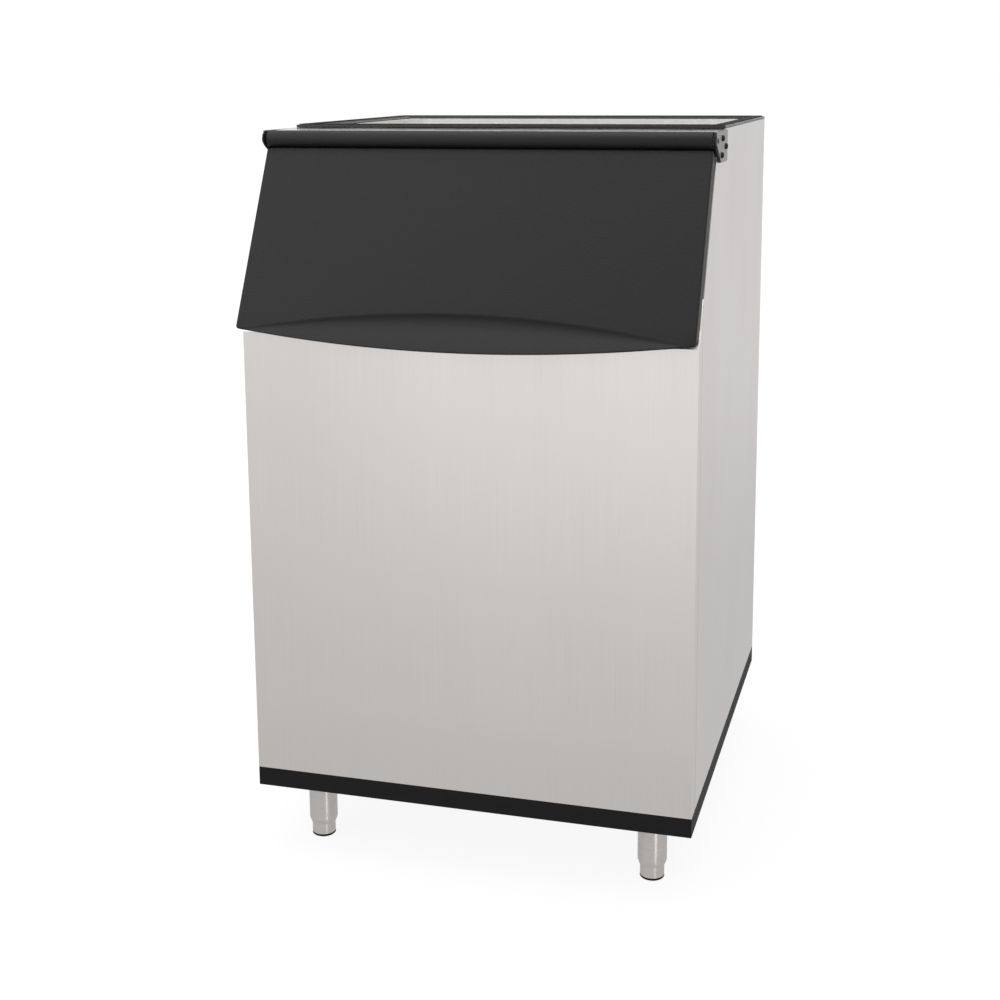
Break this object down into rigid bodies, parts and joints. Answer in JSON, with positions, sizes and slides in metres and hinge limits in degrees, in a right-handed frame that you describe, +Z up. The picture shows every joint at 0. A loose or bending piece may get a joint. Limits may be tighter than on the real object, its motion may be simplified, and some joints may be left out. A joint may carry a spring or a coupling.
{
  "type": "ice storage bin",
  "caption": "Free-standing insulated ice storage bin: stainless casing, slanted lift-up front door on a full-width hinge barrel, open top for an ice machine, adjustable legs.",
  "frame": {"origin": "on the floor under the middle of the overall box, feet screwed fully in", "axes": "+X to the bin's right as seen from the front, +Y from the front (door side) to the back, +Z up"},
  "size_m": [0.7798, 0.8638, 1.2645],
  "materials": {
    "stainless_steel": "satin brushed",
    "galvanised_steel": "dull zinc",
    "black_steel": "black coated",
    "black_plastic": "moulded, satin",
    "grained_plastic": "fine-grained moulded plastic",
    "white_plastic": "smooth polyethylene",
    "black_rubber": "matte",
    "foam": "rigid polyurethane foam"
  },
  "bodies": {
    "cabinet": {"door_frame": "black_plastic", "ice_baffle": "white_plastic", "left_thumb_screw": "black_plastic", "right_thumb_screw": "black_plastic", "left_door_bumper": "black_rubber", "right_door_bumper": "black_rubber", "front_panel": "stainless_steel", "right_side_panel": "stainless_steel", "left_side_panel": "stainless_steel", "back_panel": "galvanised_steel", "top_ledge": "stainless_steel", "base_trim": "black_plastic", "bottom_pan": "galvanised_steel", "foam_insulation": "foam", "liner": "white_plastic", "top_rim": "black_plastic", "top_seal": "black_rubber", "drain_fitting": "black_plastic", "drain_nut": "black_plastic", "drain_strainer": "white_plastic", "right_hinge_spacer": "black_plastic", "right_hinge_plate": "stainless_steel", "right_hinge_nut_plate": "galvanised_steel", "right_hinge_pin": "black_steel", "right_hinge_screw_1": "black_steel", "right_hinge_screw_2": "black_steel", "right_hinge_screw_3": "black_steel", "left_hinge_spacer": "black_plastic", "left_hinge_plate": "stainless_steel", "left_hinge_nut_plate": "galvanised_steel", "left_hinge_pin": "black_steel", "left_hinge_screw_1": "black_steel", "left_hinge_screw_2": "black_steel", "left_hinge_screw_3": "black_steel", "front_left_leg_socket": "galvanised_steel", "front_left_leg_tube": "stainless_steel", "front_right_leg_socket": "galvanised_steel", "front_right_leg_tube": "stainless_steel", "rear_left_leg_socket": "galvanised_steel", "rear_left_leg_tube": "stainless_steel", "rear_right_leg_socket": "galvanised_steel", "rear_right_leg_tube": "stainless_steel"},
    "door": {"right_barrel_bushing": "white_plastic", "left_barrel_bushing": "white_plastic", "hinge_barrel": "grained_plastic", "door_outer_skin": "grained_plastic", "door_inner_skin": "black_plastic", "door_foam": "foam", "door_screw_1": "galvanised_steel", "door_screw_2": "galvanised_steel", "door_screw_3": "galvanised_steel", "door_screw_4": "galvanised_steel"},
    "front_left_foot_unit": {"front_left_foot": "stainless_steel", "front_left_foot_pad": "black_rubber"},
    "front_right_foot_unit": {"front_right_foot": "stainless_steel", "front_right_foot_pad": "black_rubber"},
    "rear_left_foot_unit": {"rear_left_foot": "stainless_steel", "rear_left_foot_pad": "black_rubber"},
    "rear_right_foot_unit": {"rear_right_foot": "stainless_steel", "rear_right_foot_pad": "black_rubber"}
  },
  "joints": [
    {"name": "door_hinge", "type": "hinge", "parent": "cabinet", "child": "door", "pos_m": [0, -0.25207, 1.243], "axis": [-1, 0, 0], "range_deg": [0, 160]},
    {"name": "front_left_foot_height", "type": "slide", "parent": "cabinet", "child": "front_left_foot_unit", "axis": [0, 0, -1], "range_m": [0, 0.025]},
    {"name": "front_right_foot_height", "type": "slide", "parent": "cabinet", "child": "front_right_foot_unit", "axis": [0, 0, -1], "range_m": [0, 0.025]},
    {"name": "rear_left_foot_height", "type": "slide", "parent": "cabinet", "child": "rear_left_foot_unit", "axis": [0, 0, -1], "range_m": [0, 0.025]},
    {"name": "rear_right_foot_height", "type": "slide", "parent": "cabinet", "child": "rear_right_foot_unit", "axis": [0, 0, -1], "range_m": [0, 0.025]}
  ]
}
